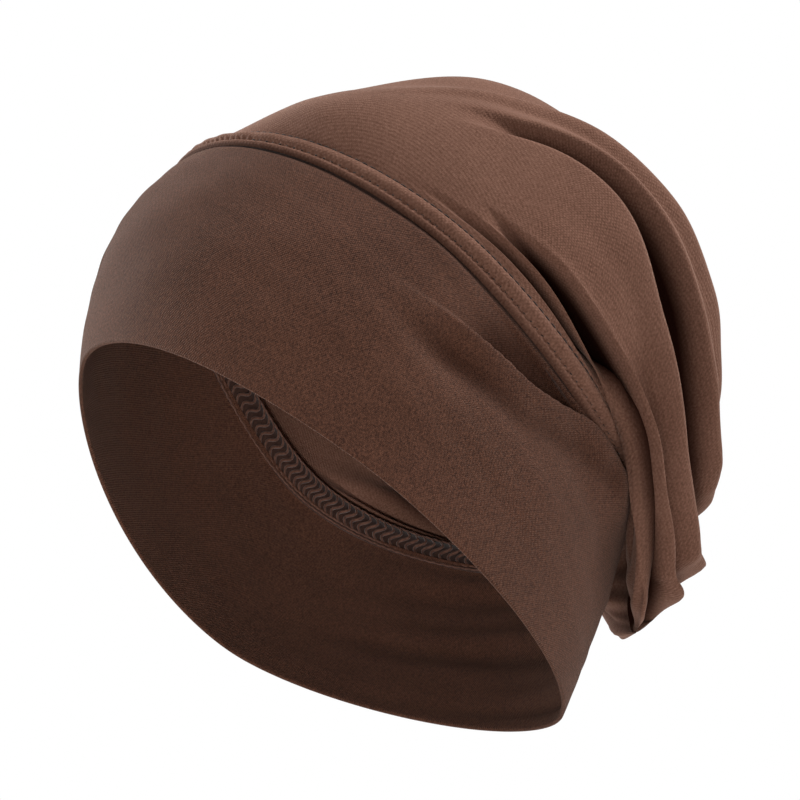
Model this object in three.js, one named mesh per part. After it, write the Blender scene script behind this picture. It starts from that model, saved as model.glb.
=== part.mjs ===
import * as THREE from "three";

// A slouchy jersey head cap: a wide folded band, a loose crown whose folds run from the front over the top
// into a gathered seam up the back, and the overlocked seam edge inside. Millimetres, +Z up, front at -Y,
// wearer's left at +X. The origin is the centre of the head opening.
//
// Every shape is worked out in the cap's own frame: x to the wearer's left, y to the back and z square to
// the rim. The finished cap is then tipped so that its front rides higher than its nape.

const rimTilt = 32.4; // degrees that the front of the rim is raised
const bandWall = 2.4; // two plies of jersey
const rimFoldWall = 1.4; // the same two plies pressed at the fold
const rimFoldReach = 0.17; // share of the band's height that the pressed fold takes
const crownWall = 1.8; // one ply of the crown, measured square to the body under its folds
const turnWall = 1.0; // the same ply where its gathered bottom turns under sharply
const allowanceWall = 1.6; // overlocked edge inside the joint
const seamGap = 0.3; // clearance between pieces that are sewn together
const stripPuff = 1.5; // how far the strip between the two stitch rows stands proud
const firstStitchRow = 0.38; // share of the strip's height
const frontArc = 34; // degrees each side of the front where the fold lines of the crown start

const bandColumns = 66;
const bandRows = 10;
const crownRows = 32;
const rowCrowding = 1.35; // over 1 draws the crown's rows together towards the back seam
const columnsPerFoldLine = 2;
const stripLevels = [0.72, firstStitchRow, 0]; // from the upper stitch row down to the joint
const allowanceLevels = [0.04, 0.45, 0.86];

const jerseyBrown = { color: 0x5c3e34, roughness: 0.85, metalness: 0 };
const crownBrown = { color: 0x654539, roughness: 0.85, metalness: 0 };
const overlockBrown = { color: 0x4e3127, roughness: 0.9, metalness: 0 };

// The level loops of the cap. power rounds the outline, egg widens the front, rise lifts the back,
// saddle lifts front and back over the sides, ripple is the third wave, shift moves the loop to the back.
const rim = {
  length: 98.3, width: 79.0, egg: -0.122, power: 1.686,
  height: 0, rise: -0.3, saddle: 6.8, ripple: 1.1, shift: 0,
};
const joint = {
  length: 100.4, width: 90.8, egg: -0.013, power: 1.682,
  height: 73.5, rise: -9.4, saddle: 7.1, ripple: -1.1, shift: -17.0,
};
const upperStitch = {
  length: 99.5, width: 92.0, egg: -0.013, power: 1.7,
  height: 81.5, rise: -9.0, saddle: 7.1, ripple: -1.1, shift: -15.0,
};

// Ribs of the crown, like the hoops of a bonnet. at runs from the front (0) to the back seam (1), foot is
// the angle where a rib meets the joint, back and up place its top on the middle line, side bulges it to
// the left and right, out pushes its lower half backwards and drop lets it sag behind the band.
const frontBlend = 0.12; // share of the way back over which the first rib gives up the stitched loop
const outPeak = 1.3; // powers that move the peaks of out and drop down a rib, and how full each is
const outFullness = 0.75;
const dropPeak = 2;
const dropFullness = 1.5;
const ribs = [
  { at: 0.0, foot: frontArc, back: -115, up: 97, side: 0, out: 0, drop: 0 },
  { at: 0.08, foot: 46, back: -103, up: 112, side: 3, out: 0, drop: 0 },
  { at: 0.18, foot: 60, back: -86, up: 132, side: 8, out: 0, drop: 0 },
  { at: 0.3, foot: 76, back: -51, up: 163, side: 13.5, out: 0, drop: 0 },
  { at: 0.42, foot: 92, back: -8, up: 179, side: 15.5, out: 0, drop: 0 },
  { at: 0.54, foot: 107, back: 31, up: 175, side: 14.5, out: 2, drop: 0 },
  { at: 0.66, foot: 122, back: 55, up: 160, side: 12, out: 7, drop: 6 },
  { at: 0.76, foot: 135, back: 64, up: 147, side: 11, out: 13, drop: 17 },
  { at: 0.86, foot: 148, back: 70, up: 132, side: 13, out: 20, drop: 34 },
  { at: 0.93, foot: 160, back: 73, up: 121, side: 14, out: 24, drop: 43 },
  { at: 0.97, foot: 168, back: 74, up: 116, side: 10, out: 26, drop: 43 },
  { at: 1.0, foot: 180, back: 74, up: 113, side: 0, out: 25, drop: 36 },
];

// Fold lines of one half of the crown, from the middle line (0) down to the joint (1). front and middle
// are the line's place across at those two stations, begin is where the fold starts and lift is how far
// its ridge stands out at the back, or how deep its valley sinks when negative.
const frontStation = 0.35;
const middleStation = 0.7;
const foldGrowth = 0.45; // share of the way to the back over which a fold reaches its full lift
const foldFade = 0.2; // and over which one that ends early, at until, dies away
const leftFolds = [
  { front: 0.0, middle: 0.0, begin: 0.1, lift: 1.5, until: 1.3 },
  { front: 0.16, middle: 0.13, begin: 0.1, lift: 5.5, until: 1.3 },
  { front: 0.3, middle: 0.26, begin: 0.1, lift: -3.5, until: 1.3 },
  { front: 0.46, middle: 0.4, begin: 0.15, lift: 1.5, until: 1.3 },
  { front: 0.58, middle: 0.54, begin: 0.25, lift: 2.5, until: 1.3 },
  { front: 0.645, middle: 0.605, begin: 0.28, lift: -11.5, until: 1.3 },
  { front: 0.7, middle: 0.655, begin: 0.28, lift: 2.5, until: 1.3 },
  { front: 0.79, middle: 0.725, begin: 0.55, lift: -2.5, until: 1.3 },
  { front: 0.87, middle: 0.8, begin: 0.45, lift: 3.5, until: 0.92 },
  { front: 0.892, middle: 0.86, begin: 0.42, lift: -9.0, until: 0.86 },
  { front: 0.915, middle: 0.89, begin: 0.4, lift: 4.0, until: 0.86 },
  { front: 0.945, middle: 0.935, begin: 0.28, lift: -3.0, until: 0.72 },
  { front: 0.975, middle: 0.97, begin: 0.6, lift: 0, until: 1.3 },
  { front: 1.0, middle: 1.0, begin: 0.6, lift: 0, until: 1.3 },
];
const rightFolds = [
  { front: 0.0, middle: 0.0, begin: 0.1, lift: 1.5, until: 1.3 },
  { front: 0.15, middle: 0.12, begin: 0.1, lift: 8.0, until: 1.3 },
  { front: 0.28, middle: 0.25, begin: 0.2, lift: -8.0, until: 1.3 },
  { front: 0.4, middle: 0.36, begin: 0.2, lift: 2.5, until: 1.3 },
  { front: 0.52, middle: 0.48, begin: 0.45, lift: 0, until: 1.3 },
  { front: 0.61, middle: 0.57, begin: 0.32, lift: -10.0, until: 1.3 },
  { front: 0.69, middle: 0.65, begin: 0.32, lift: 3.0, until: 1.3 },
  { front: 0.78, middle: 0.72, begin: 0.5, lift: -3.5, until: 1.3 },
  { front: 0.85, middle: 0.79, begin: 0.45, lift: 3.5, until: 0.92 },
  { front: 0.885, middle: 0.85, begin: 0.4, lift: -9.0, until: 0.86 },
  { front: 0.915, middle: 0.89, begin: 0.4, lift: 4.0, until: 0.86 },
  { front: 0.945, middle: 0.935, begin: 0.28, lift: -3.0, until: 0.72 },
  { front: 0.975, middle: 0.97, begin: 0.6, lift: 0, until: 1.3 },
  { front: 1.0, middle: 1.0, begin: 0.6, lift: 0, until: 1.3 },
];
// Where each line of both halves runs into the gathered back seam.
const seamPlaces = [0, 0.085, 0.185, 0.28, 0.375, 0.46, 0.51, 0.56, 0.61, 0.675, 0.79, 0.88, 0.944, 1];

// The gathered bottom of the crown turns under here: its place across and reach, and where it begins.
const turn = { place: 0.76, reach: 0.3, begin: 0.78, growth: 0.1 };

// Where folds lie down: over the first edge of the crown, at the back seam, and towards the stitched loop,
// which takes more room at the back. Close to the seam they keep only part of their lift.
const settle = { edge: 0.1, seam: 0.02, loop: 0.03, loopAtBack: 0.2 };
const crowding = { begin: 0.65, growth: 0.3, loss: 0.6 };

// Slack creases of the band: from and to are angle and height, dent is negative where it sinks in.
const bandCreases = [
  { fromAngle: 82, fromHeight: 0.55, toAngle: 136, toHeight: 0.88, spread: 0.12, dent: -3.0 },
  { fromAngle: 82, fromHeight: 0.75, toAngle: 130, toHeight: 0.99, spread: 0.11, dent: 1.8 },
];
const bandBelly = { front: 8.8, back: 1.2 }; // how far the band swells between rim and joint
const creaseTail = 1.25; // a crease dies away this far along, 1 being its far end
const headCentreBack = -12; // centre that the level outward directions leave from
const degree = Math.PI / 180;

function smoothStep(value) {
  const t = Math.min(1, Math.max(0, value));
  return t * t * (3 - 2 * t);
}

// A power of sine or cosine that keeps its sign and stays round where it crosses zero.
function roundedPower(value, power) {
  const soft = 0.03;
  return value * ((value * value + soft) / (1 + soft)) ** ((2 / power - 1) / 2);
}

function loopPoint(loop, angle) {
  const side = roundedPower(Math.sin(angle), loop.power);
  const back = -roundedPower(Math.cos(angle), loop.power);
  return new THREE.Vector3(
    loop.width * side * (1 + loop.egg * back),
    loop.length * back + loop.shift,
    loop.height + loop.rise * back + loop.saddle * Math.cos(2 * angle) + loop.ripple * Math.cos(3 * angle),
  );
}

// Level direction out of the head, from a centre a little in front of the ears.
function outward(point) {
  return new THREE.Vector3(point.x, point.y - headCentreBack, 0).normalize();
}

// Smooth curve through one column of a table whose rows stand at given places.
function along(rows, column, at) {
  const last = rows.length - 1;
  let i = 0;
  while (i < last - 1 && rows[i + 1].at <= at) i += 1;
  const slope = (k) => {
    const before = rows[Math.max(0, k - 1)];
    const after = rows[Math.min(last, k + 1)];
    return (after[column] - before[column]) / (after.at - before.at);
  };
  const step = rows[i + 1].at - rows[i].at;
  const t = (at - rows[i].at) / step;
  return (
    (2 * t ** 3 - 3 * t ** 2 + 1) * rows[i][column] +
    (t ** 3 - 2 * t ** 2 + t) * step * slope(i) +
    (3 * t ** 2 - 2 * t ** 3) * rows[i + 1][column] +
    (t ** 3 - t ** 2) * step * slope(i + 1)
  );
}

// Half a sine wave over 0 to 1, with fuller (power under 1) or softer ends.
function sinePower(share, power) {
  return Math.max(0, Math.sin(Math.PI * share)) ** power;
}

// One point of a rib: across is 0 on the middle line, 1 at the left foot and -1 at the right foot.
function ribPoint(at, across) {
  const foot = loopPoint(upperStitch, along(ribs, "foot", at) * degree);
  const reach = Math.abs(across);
  const rise = Math.cos((reach * Math.PI) / 2);
  const bulge = along(ribs, "side", at) * Math.sin(reach * Math.PI);
  const side = foot.x * Math.sin((reach * Math.PI) / 2) + bulge;
  const out = along(ribs, "out", at) * sinePower(reach ** outPeak, outFullness);
  const drop = along(ribs, "drop", at) * sinePower(reach ** dropPeak, dropFullness);
  return new THREE.Vector3(
    Math.sign(across) * side,
    foot.y + (along(ribs, "back", at) - foot.y) * rise + out,
    foot.z + (along(ribs, "up", at) - foot.z) * rise - drop,
  );
}

// The crown without its folds. Its first rib is laid exactly on the stitched loop.
function crownBody(at, across) {
  const point = ribPoint(at, across);
  const blend = 1 - smoothStep(at / frontBlend);
  if (blend > 0) {
    const seated = loopPoint(upperStitch, across * frontArc * degree);
    point.addScaledVector(seated.sub(ribPoint(0, across)), blend);
  }
  return point;
}

// Direction out of the crown's body, taken over a wider stretch where the cloth turns under.
function crownNormal(at, across) {
  const step = 0.002;
  const turnStep = 0.04;
  const wide = step + turnStep * smoothStep((at - turn.begin) / turn.growth);
  const a = Math.min(1 - 2 * step, Math.max(2 * step, at));
  const forward = crownBody(a - step, across).sub(crownBody(a + step, across));
  const leftSpot = crownBody(a, Math.min(1, across + wide));
  const leftward = leftSpot.sub(crownBody(a, Math.max(-1, across - wide)));
  return forward.cross(leftward).normalize();
}

// Place across of a fold line: a parabola through its front, middle and seam places.
function linePlace(fold, seamPlace, at) {
  const t = Math.max(at, frontStation);
  const first = ((t - middleStation) * (t - 1)) / ((frontStation - middleStation) * (frontStation - 1));
  const second = ((t - frontStation) * (t - 1)) / ((middleStation - frontStation) * (middleStation - 1));
  const third = ((t - frontStation) * (t - middleStation)) / ((1 - frontStation) * (1 - middleStation));
  return fold.front * first + fold.middle * second + seamPlace * third;
}

function lineLift(fold, at) {
  return fold.lift * smoothStep((at - fold.begin) / foldGrowth) * smoothStep((fold.until - at) / foldFade);
}

// Place across and lift between two fold lines, with round ridges and valleys.
function foldSection(folds, at, line) {
  const last = folds.length - 1;
  const i = Math.min(last - 1, Math.floor(line));
  const t = line - i;
  const place = (k) => linePlace(folds[k], seamPlaces[k], at);
  const slope = (k) => (k === 0 || k === last ? 0 : (place(k + 1) - place(k - 1)) / 2);
  const mix = smoothStep(t);
  const slopeStart = i === 0 ? place(1) - place(0) : slope(i);
  const slopeEnd = i + 1 === last ? place(last) - place(last - 1) : slope(i + 1);
  const across =
    (2 * t ** 3 - 3 * t ** 2 + 1) * place(i) +
    (t ** 3 - 2 * t ** 2 + t) * slopeStart +
    (3 * t ** 2 - 2 * t ** 3) * place(i + 1) +
    (t ** 3 - t ** 2) * slopeEnd;
  const lift = lineLift(folds[i], at) * (1 - mix) + lineLift(folds[i + 1], at) * mix;
  return { across: Math.min(1, Math.max(0, across)), lift };
}

// Share of its lift that a fold shows at a spot of the crown.
function foldShare(at, across) {
  const loopRoom = settle.loop + settle.loopAtBack * at ** 4;
  const ends = smoothStep(at / settle.edge) * smoothStep((1 - at) / settle.seam);
  const crowd = 1 - crowding.loss * smoothStep((at - crowding.begin) / crowding.growth);
  return ends * smoothStep((1 - across) / loopRoom) * crowd;
}

// The wall thins only where the cloth doubles back on itself.
function crownWallAt(at, across) {
  const near = smoothStep(1 - Math.abs(across - turn.place) / turn.reach);
  return crownWall + (turnWall - crownWall) * near * smoothStep((at - turn.begin) / turn.growth);
}

// A sheet is a list of outer points, each with its inward direction and wall, and the faces between them.
function makeSheet() {
  return { points: [], inward: [], walls: [], faces: [] };
}

function addPoint(sheet, point, inward, wall) {
  sheet.points.push(point);
  sheet.inward.push(inward);
  sheet.walls.push(wall);
  return sheet.points.length - 1;
}

function addQuad(sheet, a, b, c, d) {
  sheet.faces.push([a, b, c], [a, c, d]);
}

// Turns a sheet into one closed wall: outer faces, inner faces and a strip round every open edge.
function thicken(sheet) {
  const count = sheet.points.length;
  const positions = [];
  for (const point of sheet.points) positions.push(point.x, point.y, point.z);
  sheet.points.forEach((point, i) => {
    const inner = point.clone().addScaledVector(sheet.inward[i], sheet.walls[i]);
    positions.push(inner.x, inner.y, inner.z);
  });
  const directed = new Set();
  for (const face of sheet.faces) {
    for (let k = 0; k < 3; k += 1) directed.add(`${face[k]} ${face[(k + 1) % 3]}`);
  }
  const index = [];
  for (const [a, b, c] of sheet.faces) {
    index.push(a, b, c, a + count, c + count, b + count);
    for (const [from, to] of [[a, b], [b, c], [c, a]]) {
      if (directed.has(`${to} ${from}`)) continue;
      index.push(to, from, from + count, to, from + count, to + count);
    }
  }
  const geometry = new THREE.BufferGeometry();
  geometry.setAttribute("position", new THREE.Float32BufferAttribute(positions, 3));
  geometry.setIndex(index);
  if (signedVolume(positions, index) < 0) {
    for (let k = 0; k < index.length; k += 3) [index[k + 1], index[k + 2]] = [index[k + 2], index[k + 1]];
    geometry.setIndex(index);
  }
  geometry.computeVertexNormals();
  return geometry;
}

function signedVolume(positions, index) {
  const corner = (i) => new THREE.Vector3().fromArray(positions, 3 * i);
  let sum = 0;
  for (let k = 0; k < index.length; k += 3) {
    sum += corner(index[k]).dot(corner(index[k + 1]).cross(corner(index[k + 2])));
  }
  return sum / 6;
}

// A ring of columns and rows that closes on itself.
function addRing(sheet, columns, rows, pointAt) {
  const at = (column, row) => (column % columns) * (rows + 1) + row;
  for (let column = 0; column < columns; column += 1) {
    for (let row = 0; row <= rows; row += 1) pointAt(column / columns, row / rows, row);
  }
  for (let column = 0; column < columns; column += 1) {
    for (let row = 0; row < rows; row += 1) {
      addQuad(sheet, at(column, row), at(column + 1, row), at(column + 1, row + 1), at(column, row + 1));
    }
  }
}

function bandCrease(angle, height) {
  let dent = 0;
  for (const crease of bandCreases) {
    const span = (angle / degree - crease.fromAngle) / (crease.toAngle - crease.fromAngle);
    if (span <= 0 || span >= creaseTail) continue;
    const line = crease.fromHeight + (crease.toHeight - crease.fromHeight) * span;
    const across = (height - line) / crease.spread;
    dent += crease.dent * Math.sin((Math.PI * span) / creaseTail) * Math.exp(-across * across);
  }
  return dent;
}

function bandPoint(angle, height) {
  const low = loopPoint(rim, angle);
  const high = loopPoint(joint, angle);
  high.z -= seamGap / 2;
  const point = low.lerp(high, height);
  const middle = (bandBelly.front + bandBelly.back) / 2;
  const swell = middle + (bandBelly.front - middle) * Math.cos(angle);
  const belly = swell * 4 * height * (1 - height);
  return point.addScaledVector(outward(point), belly + bandCrease(angle, height));
}

function makeBand() {
  const sheet = makeSheet();
  addRing(sheet, bandColumns, bandRows, (around, height) => {
    const point = bandPoint(around * 2 * Math.PI, height);
    const wall = rimFoldWall + (bandWall - rimFoldWall) * smoothStep(height / rimFoldReach);
    addPoint(sheet, point, outward(point).negate(), wall);
  });
  return thicken(sheet);
}

// The strip between the joint (level 0) and the upper stitch row (level 1), before it is puffed.
function stripPoint(angle, level) {
  const low = loopPoint(joint, angle);
  low.z += seamGap / 2;
  return low.lerp(loopPoint(upperStitch, angle), level);
}

function stripPuffAt(level) {
  const span = (level - firstStitchRow) / (1 - firstStitchRow);
  return span > 0 && span < 1 ? stripPuff * Math.sin(Math.PI * span) : 0;
}

// One row of the crown across both halves, from the left foot over the middle line to the right foot.
function addCrownRow(sheet, at, isSeam) {
  const lines = seamPlaces.length - 1;
  const half = lines * columnsPerFoldLine;
  const row = [];
  for (let column = 0; column <= 2 * half; column += 1) {
    if (isSeam && column > half) {
      row.push({ index: row[2 * half - column].index, across: -row[2 * half - column].across });
      continue;
    }
    const side = column <= half ? 1 : -1;
    const folds = side > 0 ? leftFolds : rightFolds;
    const section = foldSection(folds, at, Math.abs(half - column) / columnsPerFoldLine);
    const across = side * section.across;
    const normal = crownNormal(at, across);
    if (isSeam) normal.setX(0).normalize();
    const lift = section.lift * foldShare(at, section.across);
    const point = crownBody(at, across).addScaledVector(normal, lift);
    const wall = crownWallAt(at, section.across);
    row.push({ index: addPoint(sheet, point, normal.negate(), wall), across });
  }
  return row;
}

function makeCrown() {
  const sheet = makeSheet();
  const rows = [];
  for (let i = 0; i <= crownRows; i += 1) {
    const at = 1 - (1 - i / crownRows) ** rowCrowding;
    rows.push({ at, cells: addCrownRow(sheet, at, i === crownRows) });
  }
  const columns = rows[0].cells.length;
  for (let i = 0; i < crownRows; i += 1) {
    for (let j = 0; j < columns - 1; j += 1) {
      const near = rows[i].cells;
      const far = rows[i + 1].cells;
      addQuad(sheet, near[j].index, far[j].index, far[j + 1].index, near[j + 1].index);
    }
  }
  // The open edge of the folds, once round from the nape by the left side, with its angle on the joint.
  const edge = [];
  const footAngle = (at) => along(ribs, "foot", at) * degree;
  for (let i = crownRows; i > 0; i -= 1) {
    edge.push({ index: rows[i].cells[0].index, angle: footAngle(rows[i].at) });
  }
  for (const cell of rows[0].cells) edge.push({ index: cell.index, angle: cell.across * frontArc * degree });
  for (let i = 1; i < crownRows; i += 1) {
    edge.push({ index: rows[i].cells[columns - 1].index, angle: -footAngle(rows[i].at) });
  }
  addStrip(sheet, edge);
  return thicken(sheet);
}

function addStrip(sheet, edge) {
  let above = edge.map((spot) => spot.index);
  for (const level of stripLevels) {
    const below = edge.map(({ angle }) => {
      const point = stripPoint(angle, level);
      const out = outward(point);
      const puff = stripPuffAt(level);
      return addPoint(sheet, point.addScaledVector(out, puff), out.clone().negate(), crownWall + puff);
    });
    edge.forEach((spot, i) => {
      const next = (i + 1) % edge.length;
      addQuad(sheet, above[i], above[next], below[next], below[i]);
    });
    above = below;
  }
}

function makeSeamAllowance() {
  const sheet = makeSheet();
  addRing(sheet, bandColumns, allowanceLevels.length - 1, (around, share, row) => {
    const point = stripPoint(around * 2 * Math.PI, allowanceLevels[row]);
    const inward = outward(point).negate();
    addPoint(sheet, point.addScaledVector(inward, crownWall + seamGap), inward, allowanceWall);
  });
  return thicken(sheet);
}

function makePiece(name, geometry, finish) {
  const piece = new THREE.Mesh(geometry, new THREE.MeshStandardMaterial(finish));
  piece.name = name;
  return piece;
}

const cap = new THREE.Group();
cap.name = "cap";
cap.add(makePiece("band", makeBand(), jerseyBrown));
cap.add(makePiece("crown", makeCrown(), crownBrown));
cap.add(makePiece("seam_allowance", makeSeamAllowance(), overlockBrown));
cap.rotation.x = -rimTilt * degree;

export default cap;
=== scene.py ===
import math

import bpy
import numpy as np
from mathutils import Matrix, Vector


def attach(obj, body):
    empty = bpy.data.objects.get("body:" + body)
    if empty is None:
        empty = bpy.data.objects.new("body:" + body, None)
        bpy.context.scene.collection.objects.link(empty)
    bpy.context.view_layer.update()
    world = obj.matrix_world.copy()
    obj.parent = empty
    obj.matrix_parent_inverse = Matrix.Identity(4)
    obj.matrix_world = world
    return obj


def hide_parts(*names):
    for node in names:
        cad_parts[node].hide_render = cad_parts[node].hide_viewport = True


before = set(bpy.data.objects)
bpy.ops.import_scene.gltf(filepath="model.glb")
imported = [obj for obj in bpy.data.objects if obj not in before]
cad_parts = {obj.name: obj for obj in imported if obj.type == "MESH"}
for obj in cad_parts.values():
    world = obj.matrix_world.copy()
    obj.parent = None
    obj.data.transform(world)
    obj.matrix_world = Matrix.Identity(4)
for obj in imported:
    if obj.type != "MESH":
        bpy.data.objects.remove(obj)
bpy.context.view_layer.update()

degree = math.pi / 180
mm = 0.001

# The cap's own frame has x to the wearer's left, y to the back and z square to the rim, in millimetres.
capFit = {
    "rimTilt": 32.4,  # degrees that the front of the rim rides up
    "headCentre": -12.0,  # y of the centre that the level outward directions leave from
    "bandPlies": 2.2,  # the two plies of the band together
    "rimPlies": 1.5,  # the same, pressed at the fold of the rim
}
rimLoop = {"length": 98.3, "width": 79.0, "egg": -0.122, "power": 1.686,
           "height": 0.0, "rise": -0.3, "saddle": 6.8, "ripple": 1.1, "shift": 0.0}
jointLoop = {"length": 100.4, "width": 90.8, "egg": -0.013, "power": 1.682,
             "height": 73.5, "rise": -9.4, "saddle": 7.1, "ripple": -1.1, "shift": -17.0}
stitchLoop = {"length": 99.5, "width": 92.0, "egg": -0.013, "power": 1.7,
              "height": 81.5, "rise": -9.0, "saddle": 7.1, "ripple": -1.1, "shift": -15.0}


def smoothStep(value):
    t = np.clip(value, 0.0, 1.0)
    return t * t * (3 - 2 * t)


def rising(value, begin, length):
    return smoothStep((value - begin) / length)


def falling(value, end, length):
    return smoothStep((end - value) / length)


def bell(value):
    return np.exp(-value * value)


def softPower(value, power):
    return value * ((value * value + 0.03) / 1.03) ** ((2 / power - 1) / 2)


def stack(x, y, z):
    return np.stack(np.broadcast_arrays(x, y, z), -1)


def unit(vectors):
    return vectors / np.maximum(np.linalg.norm(vectors, axis=-1, keepdims=True), 1e-9)


def loopPoint(loop, angle):
    side = softPower(np.sin(angle), loop["power"])
    back = -softPower(np.cos(angle), loop["power"])
    lift = loop["saddle"] * np.cos(2 * angle) + loop["ripple"] * np.cos(3 * angle)
    return stack(
        loop["width"] * side * (1 + loop["egg"] * back),
        loop["length"] * back + loop["shift"],
        loop["height"] + loop["rise"] * back + lift,
    )


def outward(points):
    return unit(stack(points[..., 0], points[..., 1] - capFit["headCentre"], 0 * points[..., 0]))


def curveThrough(stations, values, at):
    # smooth curve through given stations, straight-ended
    stations = np.asarray(stations, float)
    values = np.asarray(values, float)
    slopes = np.gradient(values, stations)
    i = np.clip(np.searchsorted(stations, at, side="right") - 1, 0, len(stations) - 2)
    step = stations[i + 1] - stations[i]
    t = np.clip((at - stations[i]) / step, 0, 1)
    return (
        (2 * t**3 - 3 * t**2 + 1) * values[i]
        + (t**3 - 2 * t**2 + t) * step * slopes[i]
        + (3 * t**2 - 2 * t**3) * values[i + 1]
        + (t**3 - t**2) * step * slopes[i + 1]
    )


def toWorld(points):
    tilt = capFit["rimTilt"] * degree
    x, y, z = np.moveaxis(np.asarray(points, float), -1, 0)
    up = -y * math.sin(tilt) + z * math.cos(tilt)
    return stack(x, y * math.cos(tilt) + z * math.sin(tilt), up) * mm


def wobble(a, b, seed):
    # slow unevenness of hand-worn cloth, about -1 to 1
    return (
        np.sin(2.1 * a + 1.7 * b + seed)
        + 0.6 * np.sin(4.3 * a - 3.1 * b + 2.3 * seed)
        + 0.4 * np.sin(7.9 * b + 2.7 * a + 4.1 * seed)
    ) / 2.0


def addObject(name, data):
    made = bpy.data.objects.new(name, data)
    bpy.context.scene.collection.objects.link(made)
    return made


def makePiece(name, points, faces, knitMap=None, paintedShade=None, around=None):
    # around is the knit's width where the cloth closes on itself
    mesh = bpy.data.meshes.new(name)
    mesh.from_pydata(points.reshape(-1, 3).tolist(), [], faces)
    if knitMap is not None:
        layer = mesh.uv_layers.new(name="knit")
        corners = np.empty(len(mesh.loops), int)
        mesh.loops.foreach_get("vertex_index", corners)
        flat = knitMap.reshape(-1, 2)[corners]
        if around is not None:
            quads = flat.reshape(-1, 4, 2)
            behind = quads[..., 0].max(1, keepdims=True) - quads[..., 0] > around / 2
            quads[..., 0] += around * behind
        layer.data.foreach_set("uv", flat.ravel())
    # the mark of painted shade in the hollows
    if paintedShade is not None:
        mark = mesh.attributes.new("paintedShade", "FLOAT", "POINT")
        mark.data.foreach_set("value", paintedShade.ravel())
    mesh.polygons.foreach_set("use_smooth", [True] * len(mesh.polygons))
    mesh.update()
    return addObject(name, mesh)


def gridFaces(rows, columns, closed=False, closedRows=False):
    i = np.arange(rows if closedRows else rows - 1)[:, None]
    below = (i + 1) % rows * columns
    i = i * columns
    j = np.arange(columns if closed else columns - 1)[None, :]
    after = (j + 1) % columns
    quads = np.stack([i + j, i + after, below + after, below + j], -1)
    return quads.reshape(-1, 4).tolist()


def stepLengths(points, axis):
    # running length along a grid of points
    steps = np.linalg.norm(np.diff(points, axis=axis), axis=-1)
    first = np.zeros_like(np.take(steps, [0], axis))
    return np.cumsum(np.concatenate([first, steps], axis), axis)


# The crown: ribs like the hoops of a bonnet, from the front of the stitched strip over the top to the
# gathered seam up the back.
crownBody = {
    "at": [0, 0.08, 0.18, 0.3, 0.42, 0.54, 0.66, 0.76, 0.86, 0.93, 0.97, 1.0],
    "foot": [34, 46, 60, 76, 92, 107, 122, 135, 148, 160, 168, 180],
    "back": [-115, -103, -86, -51, -8, 31, 55, 64, 70, 73, 74, 74],
    "up": [97, 112, 132, 163, 179, 175, 160, 147, 132, 121, 116, 113],
    "side": [0, 3, 8, 13.5, 15.5, 14.5, 12, 11, 13, 14, 10, 0],
    "out": [0, 0, 0, 0, 0, 2, 7, 12, 17, 22.5, 28, 32],
    "dropLeft": [0, 0, 0, 0, 0, 0, 6, 17, 31, 38, 42, 44],
    "dropRight": [0, 0, 0, 0, 0, 0, 4, 8, 14, 20, 32, 44],
    "frontArc": 34.0,
    "crowding": 1.5,  # draws places across together towards the strip
    "frontBlend": 0.12,  # how far back the first ribs still sit on the strip's upper edge
    "outSkew": 1.6,
    "dropSkew": 3.6,
    "dropPower": 0.9,
}
crownFolds = {
    "rows": 266,
    "rowCrowding": 1.3,  # draws rows together towards the back seam
    "columnsPerLine": 11,
    "lineGap": 0.004,  # least distance across between two lines
    "wander": 0.006,
    "stations": [0.35, 0.5, 0.65, 0.8, 0.88, 0.96],  # from the front, 0, to the back seam, 1
    "meet": (0.94, 0.055),  # where the two halves come to lie alike, and over how far
    "turnUnder": (0.955, 0.045),  # the same for the cloth's turn in to the seam
    "seamGroove": 5.0,
    "grooveReach": (0.97, 0.03),
    "ruche": 0.8,
    "rucheCount": 34,
    "rucheReach": (0.86, 0.1),
    "unevenness": 0.5,
    "paintedShade": (1.0, 8.5),  # mm below the body where the painted shade of a hollow begins and is full
}
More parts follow.
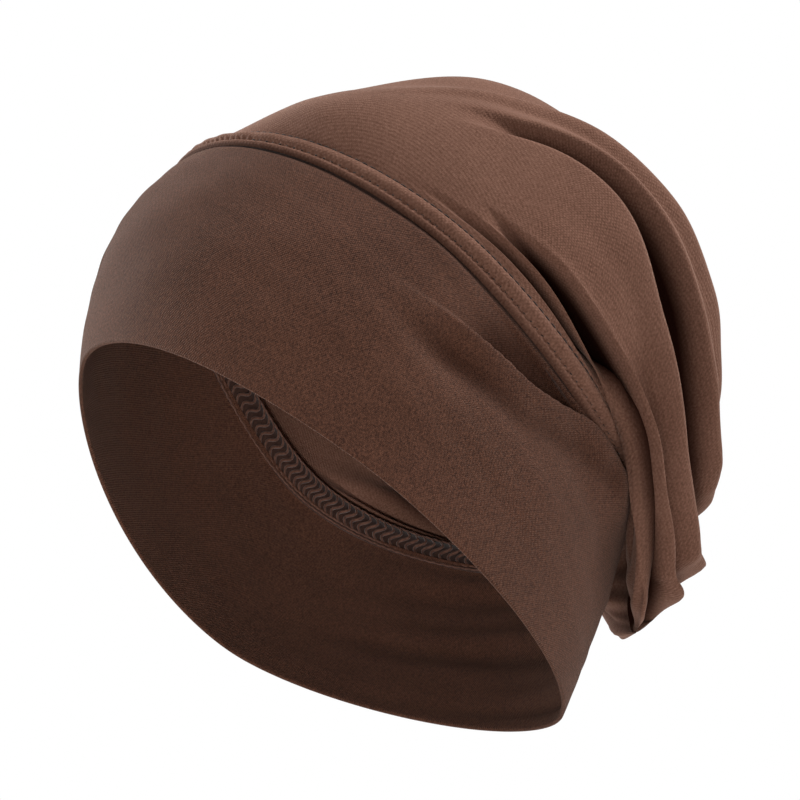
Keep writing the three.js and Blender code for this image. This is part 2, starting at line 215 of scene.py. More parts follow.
# Each line: its places across at the stations, from 0 at the middle of the head to 1 at the strip, then
# where it begins, is full and ends, its lift and lean in mm, and how sheer the cloth falls from it.
leftLines = [
    ([0.00, 0.00, 0.00, 0.00, 0.00, 0.00], 0.10, 0.50, 9, 0.5, 0.0, 0.0),
    ([0.20, 0.17, 0.14, 0.12, 0.10, 0.09], 0.12, 0.30, 0.45, 5.2, 0.0, 0.0),
    ([0.33, 0.28, 0.23, 0.19, 0.17, 0.16], 0.15, 0.50, 9, -4.0, 0.0, 0.0),
    ([0.43, 0.365, 0.315, 0.28, 0.25, 0.23], 0.12, 0.50, 9, 2.0, 0.5, 0.5),
    ([0.475, 0.41, 0.365, 0.335, 0.305, 0.27], 0.20, 0.60, 9, -2.0, 0.0, 0.0),
    ([0.52, 0.455, 0.44, 0.42, 0.385, 0.345], 0.22, 0.60, 9, 2.0, 0.0, 0.0),
    ([0.55, 0.495, 0.485, 0.49, 0.455, 0.42], 0.26, 0.55, 9, -16.0, 0.0, 0.0),
    ([0.60, 0.57, 0.62, 0.592, 0.565, 0.535], 0.26, 0.55, 9, 2.5, 3.0, 0.9),
    ([0.695, 0.67, 0.68, 0.645, 0.61, 0.58], 0.56, 0.85, 9, -5.5, 0.0, 0.0),
    ([0.81, 0.81, 0.795, 0.69, 0.65, 0.625], 0.36, 0.70, 9, 2.0, 3.5, 0.9),
    ([0.835, 0.83, 0.83, 0.77, 0.71, 0.67], 0.36, 0.62, 9, -15.0, 0.0, 0.0),
    ([0.88, 0.88, 0.91, 0.915, 0.79, 0.725], 0.28, 0.60, 9, 0.0, 1.0, 0.9),
    ([0.92, 0.905, 0.935, 0.955, 0.90, 0.83], 0.24, 0.60, 0.94, -8.0, 0.0, 0.0),
    ([0.945, 0.93, 0.948, 0.968, 0.935, 0.88], 0.74, 0.90, 9, 2.5, 0.0, 0.0),
    ([0.97, 0.955, 0.97, 0.985, 0.965, 0.94], 0.60, 1.00, 9, 1.0, 0.0, 0.0),
    ([1.00, 1.00, 1.00, 1.00, 1.00, 1.00], 0.60, 1.00, 9, 0.0, 0.0, 0.0),
]
rightLines = [
    ([0.00, 0.00, 0.00, 0.00, 0.00, 0.00], 0.10, 0.50, 9, 0.5, 0.0, 0.0),
    ([0.15, 0.13, 0.12, 0.10, 0.09, 0.08], 0.12, 0.30, 0.44, 4.0, 0.0, 0.0),
    ([0.27, 0.24, 0.21, 0.18, 0.16, 0.14], 0.18, 0.55, 9, -9.0, 0.0, 0.0),
    ([0.35, 0.31, 0.27, 0.24, 0.22, 0.20], 0.18, 0.55, 9, 1.5, 2.0, 0.8),
    ([0.43, 0.39, 0.35, 0.31, 0.28, 0.26], 0.30, 0.70, 9, -5.0, 0.0, 0.0),
    ([0.50, 0.45, 0.42, 0.38, 0.35, 0.32], 0.30, 0.70, 9, 2.0, 0.0, 0.0),
    ([0.56, 0.52, 0.50, 0.46, 0.42, 0.375], 0.30, 0.60, 9, -11.0, 0.0, 0.0),
    ([0.61, 0.57, 0.56, 0.52, 0.47, 0.42], 0.30, 0.60, 9, 2.0, 2.5, 0.9),
    ([0.70, 0.66, 0.64, 0.58, 0.52, 0.465], 0.45, 0.80, 9, -7.0, 0.0, 0.0),
    ([0.77, 0.73, 0.71, 0.65, 0.59, 0.52], 0.40, 0.75, 9, 2.0, 2.0, 0.8),
    ([0.83, 0.80, 0.79, 0.73, 0.67, 0.59], 0.38, 0.70, 9, -9.0, 0.0, 0.0),
    ([0.88, 0.86, 0.86, 0.81, 0.74, 0.67], 0.34, 0.70, 9, 2.0, 2.0, 0.8),
    ([0.93, 0.90, 0.91, 0.90, 0.84, 0.77], 0.30, 0.70, 9, -4.0, 0.0, 0.0),
    ([0.95, 0.93, 0.94, 0.945, 0.895, 0.83], 0.74, 0.90, 9, 0.5, 0.0, 0.0),
    ([0.97, 0.955, 0.965, 0.975, 0.935, 0.89], 0.60, 1.00, 9, 0.0, 0.0, 0.0),
    ([1.00, 1.00, 1.00, 1.00, 1.00, 1.00], 0.60, 1.00, 9, 0.0, 0.0, 0.0),
]
stitchStrip = {
    "firstRow": 0.38,  # share of the strip's height where the first row of stitches runs
    "puff": 1.7,
    "lowerRoll": 0.8,
    "rollPower": 0.8,
    "turnIn": 0.8,
    "ripple": 0.15,
    "pinch": 1.6,
    "pinchWidth": 0.055,
    "stitchLength": 3.0,
    "rows": 12,
    "radius": 93.0,  # mean of the strip's loop
    "knitHeight": 8.0,
    "knitOffset": 200.0,  # keeps its knit clear of the crown's
    # painted shade along the strip's foot at the joint
    "footShade": 0.6,
    "footReach": 0.14,
}


def ribPoint(at, across):
    body = crownBody
    place = {key: curveThrough(body["at"], body[key], at) for key in ("foot", "back", "up", "side", "out")}
    foot = loopPoint(stitchLoop, place["foot"] * degree)
    reach = np.abs(across)
    rise = np.cos(reach * math.pi / 2)
    side = foot[..., 0] * np.sin(reach * math.pi / 2) + place["side"] * np.sin(reach * math.pi)
    out = place["out"] * np.maximum(0, np.sin(math.pi * reach ** body["outSkew"]))
    dropLeft = curveThrough(body["at"], body["dropLeft"], at)
    dropRight = curveThrough(body["at"], body["dropRight"], at)
    sag = np.maximum(0, np.sin(math.pi * reach ** body["dropSkew"])) ** body["dropPower"]
    drop = np.where(across > 0, dropLeft, dropRight) * sag
    return stack(
        np.sign(across) * side,
        foot[..., 1] + (place["back"] - foot[..., 1]) * rise + out,
        foot[..., 2] + (place["up"] - foot[..., 2]) * rise - drop,
    )


def bodyPoint(at, across):
    seated = loopPoint(stitchLoop, across * crownBody["frontArc"] * degree)
    blend = 1 - smoothStep(at / crownBody["frontBlend"])
    return ribPoint(at, across) + blend[..., None] * (seated - ribPoint(0 * at, across))


def bodyDirections(at, across):
    # outward and down-the-side directions of the plain body
    step = 0.003
    a = np.clip(at, 2 * step, 1 - 2 * step)
    c = np.clip(across, 2 * step - 1, 1 - 2 * step)
    forward = bodyPoint(a - step, c) - bodyPoint(a + step, c)
    leftward = bodyPoint(a, c + step) - bodyPoint(a, c - step)
    return unit(np.cross(forward, leftward)), unit(leftward)


def sectionOf(lines, at, line):
    # place across, lift and lean at every row and column of one half
    count = len(lines)
    stations = crownFolds["stations"]
    at1 = at[:, 0]
    held = np.clip(at1, stations[0], stations[-1])
    places = np.stack([curveThrough(stations, row[0], held) for row in lines], 1)
    gaps = crownFolds["lineGap"] * np.arange(count)
    places = np.maximum.accumulate(places + gaps, 1) - gaps
    begin, full, end, lift, lean, sheer = (np.array([row[k] for row in lines]) for k in range(1, 7))
    growth = rising(at1[:, None], begin, full - begin) * falling(at1[:, None], end, 0.15)
    lifts = growth * lift
    leans = growth * lean
    i = np.clip(np.floor(line).astype(int), 0, count - 2)
    t = (line - i)[None, :]
    slopes = np.gradient(places, axis=1)
    across = (
        (2 * t**3 - 3 * t**2 + 1) * places[:, i]
        + (t**3 - 2 * t**2 + t) * slopes[:, i]
        + (3 * t**2 - 2 * t**3) * places[:, i + 1]
        + (t**3 - t**2) * slopes[:, i + 1]
    )
    mix = (3 * t**2 - 2 * t**3) + (t**3 - t**2) * 3 * sheer[i + 1]
    lift = lifts[:, i] * (1 - mix) + lifts[:, i + 1] * mix
    lean = leans[:, i] * (1 - mix) + leans[:, i + 1] * mix
    return np.clip(across, 0, 1), lift, lean


def reachOf(across):
    return 1 - (1 - across) ** crownBody["crowding"]


def crownRelief(at, across, side, lift):
    # how far the cloth stands off the plain body, and how fully the folds are there
    folds = crownFolds
    turnBegin, turnLength = folds["turnUnder"]
    roundOff = np.sqrt(np.clip(1 - (np.clip(at - turnBegin, 0, 1) / turnLength) ** 2, 0, 1))
    ends = rising(at, 0, 0.1) * falling(across, 1, 0.05) * roundOff
    phase = folds["rucheCount"] * math.pi * across + 1.5 * wobble(3 * across, at, side)
    ruche = folds["ruche"] * np.sin(phase) * rising(at, *folds["rucheReach"]) * roundOff
    groove = folds["seamGroove"] * rising(at, *folds["grooveReach"])
    uneven = folds["unevenness"] * wobble(9 * at, 8 * across, 5 + side) * rising(at, 0.2, 0.3)
    raised = lift * ends + (ruche - groove) * falling(across, 1, 0.08) + uneven * falling(across, 1, 0.1)
    return raised, ends


def crownPoints():
    folds = crownFolds
    rows = 1 - (1 - np.linspace(0, 1, folds["rows"] + 1)) ** folds["rowCrowding"]
    half = (len(leftLines) - 1) * folds["columnsPerLine"]
    line = np.arange(half + 1) / folds["columnsPerLine"]
    sheets = []
    paintedShades = []
    at = np.repeat(rows[:, None], half + 1, 1)
    sections = [(1, *sectionOf(leftLines, at, line)), (-1, *sectionOf(rightLines, at, line))]
    meet = (sections[0][1] + sections[1][1]) / 2  # both halves are gathered alike at the seam
    for side, across, lift, lean in sections:
        across = across + (meet - across) * rising(at, *folds["meet"])
        wander = folds["wander"] * wobble(6 * at, 5 * across, 1.3 * side) * rising(at, 0, 0.3)
        across = np.clip(across + wander * rising(across, 0, 0.1) * falling(across, 1, 0.1), 0, 1)
        place = side * reachOf(across)
        normal, downward = bodyDirections(at, place)
        raised, ends = crownRelief(at, across, side, lift)
        points = bodyPoint(at, place) + normal * raised[..., None]
        points -= downward * (side * lean * ends)[..., None]
        points[-1, :, 0] = 0
        sheets.append(points)
        # painted shade, fuller the deeper the cloth lies below the body
        shallow, full = folds["paintedShade"]
        paintedShades.append(rising(-raised, shallow, full - shallow))
    left, right = sheets
    leftPaintedShade, rightPaintedShade = paintedShades
    right[-1] = left[-1]
    paintedShade = np.concatenate([leftPaintedShade[:, ::-1], rightPaintedShade[:, 1:]], 1)
    return rows, np.concatenate([left[:, ::-1], right[:, 1:]], 1), line, paintedShade


def stripPoint(angle, level):
    low = loopPoint(jointLoop, angle)
    return low + (loopPoint(stitchLoop, angle) - low) * level[..., None]


def stripRelief(angle, level):
    strip = stitchStrip
    first = strip["firstRow"]
    upper = np.clip((level - first) / (1 - first), 0, 1)
    lower = np.clip(level / first, 0, 1)
    relief = strip["puff"] * np.sin(math.pi * upper) ** strip["rollPower"]
    relief += strip["lowerRoll"] * np.sin(math.pi * lower) ** strip["rollPower"]
    around = angle * strip["radius"] / strip["stitchLength"] * 2 * math.pi
    pucker = 0.45 + 0.55 * np.cos(around)
    relief -= strip["pinch"] * pucker * bell((level - first) / strip["pinchWidth"])
    relief -= strip["turnIn"] * bell(level / 0.12)  # at the joint
    relief += strip["ripple"] * np.sin(around * 0.31 + 3 * np.sin(angle * 5)) * np.sin(math.pi * upper)
    return relief


def makeCrown():
    rows, points, line, paintedShade = crownPoints()
    rowCount, columnCount = points.shape[:2]
    knit = np.stack([stepLengths(points, 1), stepLengths(points, 0)], -1)
    half = columnCount // 2
    knit[..., 0] -= knit[:, half, None, 0]
    knit[..., 1] = knit[:, half, None, 1]
    index = np.arange(rowCount * columnCount).reshape(rowCount, columnCount)
    foot = curveThrough(crownBody["at"], crownBody["foot"], rows) * degree
    # the open edge once round, from the nape by the left side
    edge = np.concatenate([index[:0:-1, 0], index[0], index[1:-1, -1]])
    front = np.zeros((1, half + 1))
    left, right = (reachOf(sectionOf(lines, front, line)[0][0]) for lines in (leftLines, rightLines))
    frontAngle = np.concatenate([left[::-1], -right[1:]]) * crownBody["frontArc"] * degree
    angle = np.concatenate([foot[:0:-1], frontAngle, -foot[1:-1]])
    stitched = stitchStrip
    levels = np.linspace(1, 0, stitched["rows"] + 1)[1:]
    grid, level = np.meshgrid(angle, levels)
    strip = stripPoint(grid, level)
    strip += outward(strip) * stripRelief(grid, level)[..., None]
    allPoints = np.concatenate([points.reshape(-1, 3), strip.reshape(-1, 3)])
    knitUp = (1 - level) * stitched["knitHeight"] + stitched["knitOffset"]
    stripKnit = np.stack([grid * stitched["radius"], knitUp], -1)
    allKnit = np.concatenate([knit.reshape(-1, 2), stripKnit.reshape(-1, 2)]) * mm
    faces = gridFaces(rowCount, columnCount)
    above = edge
    for start in range(index.size, len(allPoints), len(angle)):
        below = start + np.arange(len(angle))
        faces += np.stack([above, np.roll(above, -1), np.roll(below, -1), below], -1).tolist()
        above = below
    # painted shade along the strip's foot at the joint
    footPaintedShade = bell(level / stitched["footReach"]) * stitched["footShade"]
    allPaintedShade = np.concatenate([paintedShade.ravel(), footPaintedShade.ravel()])
    return makePiece("crown_cloth", toWorld(allPoints), faces, allKnit, allPaintedShade)


# The band: two plies folded at the rim.
bandShape = {
    "columns": 480,
    "outerRows": 96,
    "innerRows": 50,
    "bellyFront": 8.8,  # how far it swells between rim and joint
    "bellyBack": 1.2,
    "standOff": 2.6,  # at the back, near the joint
    "unevenness": 0.5,
    "turnIn": 1.5,
    "seamGap": 0.3,
    "knitRadius": 92.0,
    "knitDepth": 78.0,
    "foldSteps": 5,  # rows round the fold at the rim
    "foldTop": 0.006,  # share of the height where that fold ends
}
# lift in mm, then the turn from the front in degrees and the share of the height, each with its spread
bandForms = [
    (5.2, 144, 9, 0.88, 0.12),  # the corner behind the ear, pushed out by the crown's folds
    (-1.5, 141, 2.6, 0.90, 0.07),  # the small tuck in front of it
    (1.0, 128, 9, 0.42, 0.16),  # a soft swell below the crease
]
bandCrease = {
    "angles": [76, 88, 100, 108, 116, 123, 131, 140],
    "heights": [0.69, 0.72, 0.755, 0.785, 0.815, 0.88, 0.965, 1.02],
    "depth": 78.0,  # mm from rim to joint
    "ridge": 1.7,
    "ridgeWidth": 6.5,
    "tuck": 4.2,  # how far the band falls back above the crease
    "tuckWidth": 17.0,
    "valley": 3.4,
    "valleyBelow": 11.0,
    "valleyWidth": 6.5,
    "shoulder": 1.0,
    "shoulderBelow": 30.0,
    "shoulderWidth": 11.0,
    "grows": (74, 30),  # degrees from the front
    "deepens": (92, 26),
    "fades": (152, 14),
}


def creaseRelief(angle, height):
    crease = bandCrease
    turn = np.degrees(angle)
    along = np.clip(turn, crease["angles"][0], crease["angles"][-1])
    line = curveThrough(crease["angles"], crease["heights"], along)
    grow = rising(turn, *crease["grows"]) * falling(turn, *crease["fades"])
    deep = rising(turn, *crease["deepens"])
    away = (height - line) * crease["depth"]
    above = np.maximum(away, 0)
    ridge = crease["ridge"] * np.where(away < 0, bell(away / crease["ridgeWidth"]), bell(above / 0.8))
    tuck = -(0.7 + crease["tuck"] * deep) * (1 - bell(above / 1.1)) * bell(above / crease["tuckWidth"])
    tuck = tuck * falling(height, 1, 0.05)
    valley = crease["valley"] * bell((away + crease["valleyBelow"]) / crease["valleyWidth"])
    valley = valley * (1 - 0.5 * deep)
    shoulder = crease["shoulder"] * bell((away + crease["shoulderBelow"]) / crease["shoulderWidth"])
    return grow * (ridge + tuck - valley + shoulder)


def bandPoint(angle, height):
    shape = bandShape
    low = loopPoint(rimLoop, angle)
    high = loopPoint(jointLoop, angle)
    high[..., 2] -= shape["seamGap"] / 2
    point = low + (high - low) * height[..., None]
    middle = (shape["bellyFront"] + shape["bellyBack"]) / 2
    swell = middle + (shape["bellyFront"] - middle) * np.cos(angle)
    relief = swell * 4 * height * (1 - height) + creaseRelief(angle, height)
    turn = np.degrees(angle)
    relief += shape["standOff"] * bell((turn - 145) / 16) * rising(height, 0.72, 0.28)
    for lift, place, spread, level, depth in bandForms:
        relief += lift * bell((turn - place) / spread) * bell((height - level) / depth)
    relief += shape["unevenness"] * wobble(3 * angle, 5 * height, 2.0) * rising(height, 0, 0.3)
    relief -= shape["turnIn"] * bell((1 - height) / 0.018)
    return point + outward(point) * relief[..., None]


def innerWrinkles(angle, height):
    turn = np.degrees(angle)
    turn = np.where(turn > 180, turn - 360, turn)
    back = rising(np.abs(turn), 100, 50)
    run = 2 * math.pi * (height + 0.07 * np.cos(angle) + 0.03 * np.sin(3 * angle))
    waves = 0.9 * np.sin(run * 3.1 + 0.8) + 0.5 * np.sin(run * 5.3 + 2.1 * np.sin(2 * angle))
    return back * waves * rising(height, 0, 0.12) * falling(height, 1, 0.12)


def makeBand():
    shape = bandShape
    angle = np.linspace(0, 2 * math.pi, shape["columns"], endpoint=False)
    outerHeights = np.linspace(shape["foldTop"], 1, shape["outerRows"])
    innerHeights = np.linspace(1, shape["foldTop"], shape["innerRows"])
    grid, height = np.meshgrid(angle, outerHeights)
    outer = bandPoint(grid, height)
    gridIn, heightIn = np.meshgrid(angle, innerHeights)
    base = bandPoint(gridIn, heightIn)
    plies = capFit["rimPlies"] + (capFit["bandPlies"] - capFit["rimPlies"]) * rising(heightIn, 0, 0.15)
    inner = base - outward(base) * (plies - innerWrinkles(gridIn, heightIn))[..., None]
    # round of the fold at the rim, from inner to outer
    turnBy = np.linspace(0, math.pi, shape["foldSteps"] + 2)[1:-1]
    low = outer[0]
    far = inner[-1]
    centre = (low + far) / 2
    radius = np.linalg.norm(low - far, axis=-1, keepdims=True) / 2
    down = np.array([0, 0, -1.0])
    fold = [centre + (far - centre) * math.cos(t) + down * radius * math.sin(t) for t in turnBy]
    points = np.concatenate([inner, np.stack(fold), outer], 0)
    rowCount = len(points)
    foldKnit = np.linspace(-0.4, 0.4, shape["foldSteps"])
    depth = shape["knitDepth"]
    knitUp = np.concatenate([-innerHeights * depth, foldKnit, outerHeights * depth])
    knit = np.stack(np.meshgrid(angle * shape["knitRadius"], knitUp), -1) * mm
    faces = gridFaces(rowCount, shape["columns"], closed=True)
    # painted shade in the crease's valley, fainter towards the joint
    paintedShade = np.zeros((rowCount, shape["columns"]))
    creasePaintedShade = smoothStep(-creaseRelief(grid, height) / bandCrease["valley"])
    paintedShade[-len(outer):] = creasePaintedShade * (1 - 0.5 * rising(height, 0.9, 0.1))
    around = 2 * math.pi * shape["knitRadius"] * mm
    return makePiece("band_cloth", toWorld(points), faces, knit, paintedShade, around)


# The overlocked seam edge inside, its loops of thread, and the two rows of topstitching outside.
seamEdge = {
    "low": -0.24,
    "high": 1.1,
    "insetLow": 2.5,  # from the strip's outer face to this edge's inner face, at its foot
    "insetHigh": 4.2,  # the same at its raw edge
    "thick": 1.2,
    "columns": 360,
    "around": 560.0,  # mm round the edge, which the loops share out
    "loopPitch": 3.1,
    "loopSteps": 12,
    "loopFoot": 0.22,
    "loopReach": 1.25,
    "threadRadius": 0.52,
    "needleRadius": 0.36,
    "needleRows": (-0.22, -0.06, 1.1),
    "needleSteps": 900,
}
topStitch = {
    "rows": (stitchStrip["firstRow"], 0.985),
    "rowRadius": 93.5,
    "length": 2.2,
    "pitch": 3.0,
    "steps": 6,
    "radius": 0.3,
    "sink": 0.12,
    "dip": 0.35,  # how far each stitch goes under at its ends
}


def tubeMesh(paths, radius, sides, closed=False):
    # paths is tubes x points x 3, in the cap's frame
    along = unit(np.roll(paths, -1, 1) - np.roll(paths, 1, 1) if closed else np.gradient(paths, axis=1))
    across = unit(np.cross(along, outward(paths) + 1e-6))
    above = np.cross(across, along)
    turn = np.arange(sides) * 2 * math.pi / sides
    radius = np.broadcast_to(radius, paths.shape[:2])
    ring = (
        across[:, :, None] * np.cos(turn)[None, None, :, None]
        + above[:, :, None] * np.sin(turn)[None, None, :, None]
    )
    points = paths[:, :, None] + ring * radius[:, :, None, None]
    tubes, count = paths.shape[:2]
    base = np.array(gridFaces(count, sides, closed=True, closedRows=closed))
    faces = np.concatenate([base + tube * count * sides for tube in range(tubes)])
    return points.reshape(-1, 3), faces


def joinTubes(name, parts):
    faces = []
    start = 0
    for points, quads in parts:
        faces += (quads + start).tolist()
        start += len(points)
    return makePiece(name, toWorld(np.concatenate([points for points, _ in parts])), faces)


def edgeInset(level):
    edge = seamEdge
    share = (level - edge["low"]) / (edge["high"] - edge["low"])
    return edge["insetLow"] + (edge["insetHigh"] - edge["insetLow"]) * share


def makeSeamEdge():
    edge = seamEdge
    angle = np.linspace(0, 2 * math.pi, edge["columns"], endpoint=False)
    # up the edge and through its thickness, as shares of both
    profile = np.array([
        [0.0, 0.0], [0.25, 0.0], [0.75, 0.0], [1.0, 0.0], [1.02, 0.5],
        [1.0, 1.0], [0.7, 1.15], [0.3, 1.15], [0.0, 1.0], [-0.02, 0.5],
    ])
    grid, level = np.meshgrid(angle, edge["low"] + (edge["high"] - edge["low"]) * profile[:, 0])
    points = stripPoint(grid, level)
    points -= outward(points) * (edgeInset(level) - edge["thick"] * (1 - profile[:, 1][:, None]))[..., None]
    return makePiece("seam_edge", toWorld(points), gridFaces(len(profile), edge["columns"], True, True))


def makeOverlock():
    edge = seamEdge
    loops = int(edge["around"] / edge["loopPitch"])
    pitch = 2 * math.pi / loops
    start = np.arange(loops)[:, None] * pitch
    run = np.linspace(0, 1, edge["loopSteps"])[None, :]
    slant = 0.9 * (run - 0.5) + 0.42 * np.sin(2 * math.pi * run)
    angle = start + slant * pitch * edge["loopReach"]
    foot = edge["low"] + edge["loopFoot"]
    level = foot + (edge["high"] - foot) * run + 0 * start
    paths = stripPoint(angle, level)
    paths -= outward(paths) * (edgeInset(level) + 0.3 + 0.25 * np.sin(math.pi * run))[..., None]
    width = edge["threadRadius"] * (0.75 + 0.45 * np.sin(math.pi * run)) + 0 * start
    parts = [tubeMesh(paths, width, 7)]
    for row in edge["needleRows"]:
        angle = np.linspace(0, 2 * math.pi, edge["needleSteps"], endpoint=False)[None, :]
        beat = 2 * math.pi * angle / pitch
        level = row + 0.012 * np.sin(beat)
        line = stripPoint(angle, level)
        line -= outward(line) * (edgeInset(level) + 0.25 + 0.12 * np.cos(beat))[..., None]
        parts.append(tubeMesh(line, edge["needleRadius"], 6, closed=True))
    return joinTubes("overlock_thread", parts)


def makeTopstitch():
    stitch = topStitch
    count = int(2 * math.pi * stitch["rowRadius"] / stitch["pitch"])
    run = np.linspace(0, 1, stitch["steps"])[None, :]
    start = np.arange(count)[:, None] * 2 * math.pi / count
    angle = start + run * stitch["length"] / stitch["pitch"] * 2 * math.pi / count
    fromMiddle = np.abs(2 * run - 1)
    width = stitch["radius"] * (1 - 0.5 * fromMiddle**6) + 0 * start
    parts = []
    for row in stitch["rows"]:
        level = np.full(angle.shape, row)
        path = stripPoint(angle, level)
        height = stripRelief(angle, level) + stitch["radius"] - stitch["sink"]
        height -= stitch["dip"] * fromMiddle**4
        path += outward(path) * height[..., None]
        parts.append(tubeMesh(path, width, 6))
    return joinTubes("topstitch_thread", parts)


# Materials
clothLooks = {
    "band_jersey": {
        "colour": (0.122, 0.048, 0.027),
        "shade": (0.036, 0.012, 0.006),
        "deep": (0.020, 0.007, 0.004),  # painted shade in the hollows
        "paintedShade": 0.65,  # how far the painted shade takes the hollows to that colour
        "wale": 0.62,  # mm from wale to wale
        "bump": 0.8,
        "speckle": 1.3,
        "nap": 0.22,  # sheen and shine, faded out under the painted shade in the hollows
    },
    "crown_jersey": {
        "colour": (0.240, 0.122, 0.085),
        "shade": (0.095, 0.037, 0.021),
        # painted shade in the hollows
        "deep": (0.016, 0.005, 0.003),
        "paintedShade": 1.0,
        "wale": 1.15,
        "bump": 0.4,
        "speckle": 0.8,
        "nap": 0.22,
    },
}
threadLooks = {
    "overlock": {"colour": (0.150, 0.066, 0.042), "shade": (0.075, 0.028, 0.017)},
    # the cloth under the overlock loops, darkened as painted shade between the loops
    "shade_painted_overlock_cloth": {"colour": (0.055, 0.020, 0.011), "shade": (0.025, 0.009, 0.005)},
    # near-black thread: painted shade where the stitches sink into the strip
    "shade_painted_seam_thread": {"colour": (0.030, 0.011, 0.006), "shade": (0.012, 0.004, 0.002)},
}


def nodeTools(tree):
    tree.nodes.clear()

    def link(source, out, target, into):
        tree.links.new(source.outputs[out], target.inputs[into])

    def add(kind, **values):
        node = tree.nodes.new(kind)
        for key, value in values.items():
            if key in node.inputs:
                node.inputs[key].default_value = value
            else:
                setattr(node, key, value)
        return node

    def reckon(operation, *values):
        # each value is a number, or a node with the name or place of its output
        node = add("ShaderNodeMath", operation=operation)
        for into, value in enumerate(values):
            if isinstance(value, tuple):
                link(*value, node, into)
            else:
                node.inputs[into].default_value = value
        return node

    def ramp(*stops):
        node = add("ShaderNodeValToRGB")
        elements = node.color_ramp.elements
        for element, (place, colour) in zip(elements, (stops[0], stops[-1])):
            element.position = place
            element.color = (*colour, 1)
        for place, colour in stops[1:-1]:
            elements.new(place).color = (*colour, 1)
        return node

    return add, link, reckon, ramp


def startMaterial(name, **looks):
    material = bpy.data.materials.new(name)
    material.use_nodes = True
    tools = nodeTools(material.node_tree)
    add, link = tools[:2]
    surface = add("ShaderNodeOutputMaterial")
    shader = add("ShaderNodeBsdfPrincipled", **looks)
    link(shader, "BSDF", surface, "Surface")
    return material, shader, *tools


def jerseyMaterial(name):
    looks = clothLooks[name]
    roughness = {"Roughness": 0.9, "Sheen Roughness": 0.38, "Sheen Tint": (0.80, 0.55, 0.45, 1)}
    material, shader, add, link, reckon, ramp = startMaterial(name, **roughness)
    place = add("ShaderNodeUVMap", uv_map="knit")
    knit = add("ShaderNodeMix", data_type="RGBA", blend_type="MULTIPLY", Factor=1.0)
    waleScale = 314.0 / looks["wale"]
    for turn, into in ((42, 6), (-42, 7)):
        mapping = add("ShaderNodeMapping")
        mapping.inputs["Rotation"].default_value[2] = turn * degree
        link(place, "UV", mapping, "Vector")
        wave = add("ShaderNodeTexWave", Scale=waleScale, Distortion=1.2, Detail=1.0)
        link(mapping, "Vector", wave, "Vector")
        link(wave, "Color", knit, into)
    spot = add("ShaderNodeTexCoord")
    speckle = add("ShaderNodeTexNoise", Scale=1300.0, Detail=2.0)
    link(spot, "Object", speckle, "Vector")
    cloud = add("ShaderNodeTexNoise", Scale=24.0, Detail=3.0)
    link(spot, "Object", cloud, "Vector")
    tone = reckon("MULTIPLY_ADD", (speckle, "Fac"), looks["speckle"], 0.3 - looks["speckle"] / 2)
    tone = reckon("MULTIPLY_ADD", (cloud, "Fac"), 0.35, (tone, 0))
    tone = reckon("MULTIPLY_ADD", (knit, 2), 0.15, (tone, 0))
    plain = ramp((0.2, looks["shade"]), (0.85, looks["colour"]))
    link(tone, 0, plain, "Fac")
    # painted shade: the hollows' mark darkens the colour towards the deep one and fades the sheen and shine
    paintedShade = add("ShaderNodeAttribute", attribute_name="paintedShade")
    sink = reckon("MULTIPLY", (paintedShade, "Fac"), looks["paintedShade"])
    deep = add("ShaderNodeMix", data_type="RGBA")
    deep.inputs[7].default_value = (*looks["deep"], 1)
    link(sink, 0, deep, "Factor")
    link(plain, "Color", deep, 6)
    link(deep, 2, shader, "Base Color")
    nap = reckon("MULTIPLY_ADD", (sink, 0), -looks["nap"], looks["nap"])
    link(nap, 0, shader, "Sheen Weight")
    link(nap, 0, shader, "Specular IOR Level")
    heights = reckon("ADD", (speckle, "Fac"), (knit, 2))
    bump = add("ShaderNodeBump", Strength=looks["bump"], Distance=0.00035)
    link(heights, 0, bump, "Height")
    link(bump, "Normal", shader, "Normal")
    return material


def threadMaterial(name):
    looks = threadLooks[name]
    surface = {"Roughness": 0.7, "Sheen Weight": 0.2, "Specular IOR Level": 0.3}
    material, shader, add, link, _, ramp = startMaterial(name, **surface)
    spot = add("ShaderNodeTexCoord")
    twist = add("ShaderNodeTexNoise", Scale=900.0, Detail=2.0)
    link(spot, "Object", twist, "Vector")
    colours = ramp((0.3, looks["shade"]), (0.7, looks["colour"]))
    link(twist, "Fac", colours, "Fac")
    link(colours, "Color", shader, "Base Color")
    bump = add("ShaderNodeBump", Strength=0.4, Distance=0.0002)
    link(twist, "Fac", bump, "Height")
    link(bump, "Normal", shader, "Normal")
    return material


# The photograph's view: the camera stands below and to the wearer's left of the cap.
cameraView = {
    "azimuth": 91.0,  # degrees, in the cap's frame
    "dip": 32.433,
    "roll": 37.104,
    "distance": 850.0,  # mm
    "right": 29.56,
    "up": 50.56,
    "lens": 117.0,
    "sensor": 36.0,
    "clip": (0.05, 20.0),  # metres
}


def makeCamera():
    view = cameraView
    turn, dip, roll = (view[key] * degree for key in ("azimuth", "dip", "roll"))
    toCamera = np.array([math.sin(turn) * math.cos(dip), -math.cos(turn) * math.cos(dip), -math.sin(dip)])
    level = np.array([math.cos(turn), math.sin(turn), 0.0])
    lifted = np.cross(toCamera, level)
    right = math.cos(roll) * level + math.sin(roll) * lifted
    up = -math.sin(roll) * level + math.cos(roll) * lifted
    spot = right * view["right"] + up * view["up"] + toCamera * view["distance"]
    axes = [toWorld(axis) / mm for axis in (right, up, toCamera)]
    data = bpy.data.cameras.new("camera")
    data.lens = view["lens"]
    data.sensor_width = view["sensor"]
    data.clip_start, data.clip_end = view["clip"]
    camera = addObject("camera", data)
    place = np.eye(4)
    place[:3] = np.stack([*axes, toWorld(spot)], 1)
    camera.matrix_world = Matrix(place.tolist())
    bpy.context.scene.camera = camera
    print("made the camera,", view["distance"], "mm away")
    return [Vector(axis.tolist()) for axis in axes]


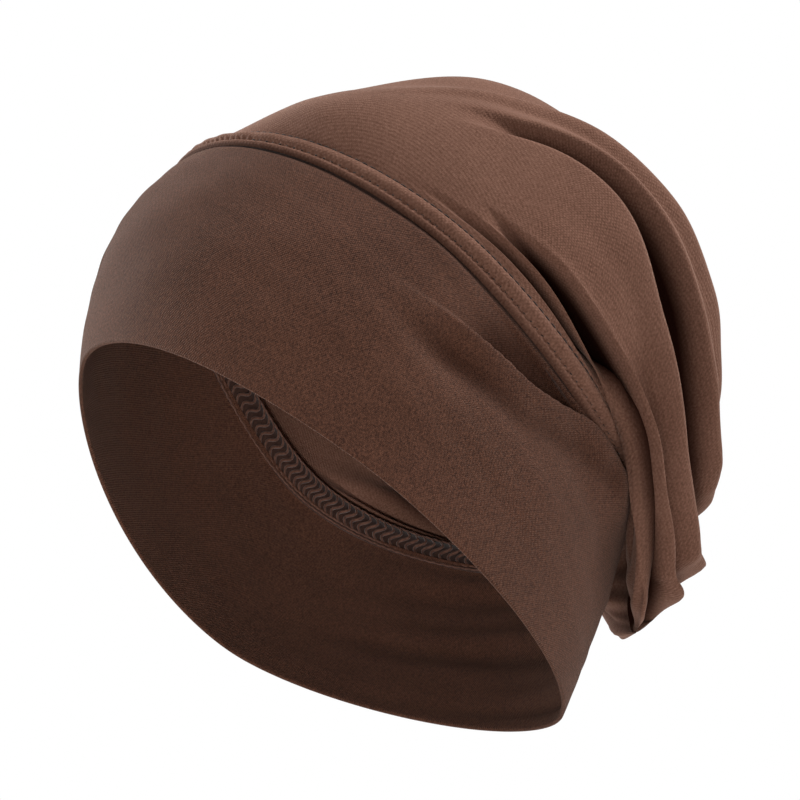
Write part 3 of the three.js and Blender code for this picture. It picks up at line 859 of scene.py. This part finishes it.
studio = {
    "aim": (0.0, 0.03, 0.06),
    "floorHeight": -1.0,
    "floorSize": 12.0,
    "floorColour": (0.86, 0.86, 0.85, 1),
    "backdrop": 1.0,
    # the dome's brightness from behind the cap round to the viewer
    "dome": [(0.0, 0.7), (0.5, 0.6), (0.78, 0.2), (1.0, 0.08)],
    "lamps": [
        # name, towards the viewer's right, up and back to the viewer from the cap, size, watts, colour
        ("key", (0.0, 1.6, 0.0), 0.5, 14.0, (1.0, 0.97, 0.94)),
        ("top_right", (1.1, 1.1, 0.0), 0.5, 12.0, (1.0, 0.98, 0.96)),
        ("right", (1.5, 0.1, 0.0), 0.5, 3.0, (1.0, 0.98, 0.96)),
        ("left_rim", (-1.2, 0.2, -1.0), 0.6, 20.0, (1.0, 0.98, 0.96)),
    ],
    # a narrow lamp beside the viewer that looks into the head opening
    "inside": {
        "place": (-0.1, -0.2, 1.5),
        "target": (-0.005, 0.0),
        "watts": 64.0,
        "cone": 8.0,  # degrees
        "soft": 0.8,
        "size": 0.1,
    },
}


def alongView(viewAxes, shares):
    return sum((axis * share for axis, share in zip(viewAxes, shares)), Vector())


def makeFloor():
    half = studio["floorSize"] / 2
    corners = [(x * half, y * half, studio["floorHeight"]) for x, y in ((-1, -1), (1, -1), (1, 1), (-1, 1))]
    mesh = bpy.data.meshes.new("floor")
    mesh.from_pydata(corners, [], [(0, 1, 2, 3)])
    floor = addObject("floor", mesh)
    looks = {"Roughness": 0.9, "Base Color": studio["floorColour"]}
    floor.data.materials.append(startMaterial("pale_floor", **looks)[0])


def pointLamp(name, lamp, place, target):
    holder = addObject(name, lamp)
    holder.location = place
    holder.rotation_euler = (target - place).to_track_quat("-Z", "Y").to_euler()


def makeLamps(viewAxes):
    aim = Vector(studio["aim"])
    for name, place, size, watts, colour in studio["lamps"]:
        lamp = bpy.data.lights.new(name, "AREA")
        lamp.energy = watts
        lamp.size = size
        lamp.color = colour
        pointLamp(name, lamp, aim + alongView(viewAxes, place), aim)
    inside = studio["inside"]
    spot = bpy.data.lights.new("inside", "SPOT")
    spot.energy = inside["watts"]
    spot.spot_size = inside["cone"] * degree
    spot.spot_blend = inside["soft"]
    spot.shadow_soft_size = inside["size"]
    place = aim + alongView(viewAxes, inside["place"])
    pointLamp("inside", spot, place, alongView(viewAxes, inside["target"]))


def makeDome(viewAxes):
    world = bpy.data.worlds.new("studio")
    bpy.context.scene.world = world
    world.use_nodes = True
    add, link, _, ramp = nodeTools(world.node_tree)
    out = add("ShaderNodeOutputWorld")
    seen = add("ShaderNodeBackground", Color=(1, 1, 1, 1), Strength=studio["backdrop"])
    lit = add("ShaderNodeBackground")
    # a pale dome, brightest behind the cap and dim around the viewer
    sky = add("ShaderNodeTexCoord")
    towards = add("ShaderNodeVectorMath", operation="DOT_PRODUCT")
    towards.inputs[1].default_value = viewAxes[2]
    spread = add("ShaderNodeMapRange")
    spread.inputs["From Min"].default_value = -1.0
    dome = ramp(*((place, [bright] * 3) for place, bright in studio["dome"]))
    link(sky, "Generated", towards, 0)
    link(towards, "Value", spread, "Value")
    link(spread, "Result", dome, "Fac")
    link(dome, "Color", lit, "Color")
    rays = add("ShaderNodeLightPath")
    mix = add("ShaderNodeMixShader")
    link(rays, "Is Camera Ray", mix, "Fac")
    link(lit, 0, mix, 1)
    link(seen, 0, mix, 2)
    link(mix, 0, out, "Surface")


def makeStudio(viewAxes):
    makeFloor()
    makeLamps(viewAxes)
    makeDome(viewAxes)
    bpy.context.scene.view_settings.view_transform = "Standard"
    print("made the studio,", len(studio["lamps"]) + 1, "lamps")


def dress(piece, material, slot, *nodes):
    piece.data.materials.append(material)
    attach(piece, "root")
    if nodes:
        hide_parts(*nodes)
    print("made", piece.name, len(piece.data.polygons), "faces")


viewAxes = makeCamera()
bandCloth = jerseyMaterial("band_jersey")
crownCloth = jerseyMaterial("crown_jersey")
edgeThread = threadMaterial("overlock")
shadePaintedEdgeCloth = threadMaterial("shade_painted_overlock_cloth")
shadePaintedSeamThread = threadMaterial("shade_painted_seam_thread")

band = makeBand()
dress(band, bandCloth, "band_jersey", "band")
crown = makeCrown()
dress(crown, crownCloth, "crown_jersey", "crown")
seamStrip = makeSeamEdge()
dress(seamStrip, shadePaintedEdgeCloth, "overlock", "seam_allowance")
overlock = makeOverlock()
dress(overlock, edgeThread, "overlock")
topstitch = makeTopstitch()
dress(topstitch, shadePaintedSeamThread, "crown_jersey")
makeStudio(viewAxes)
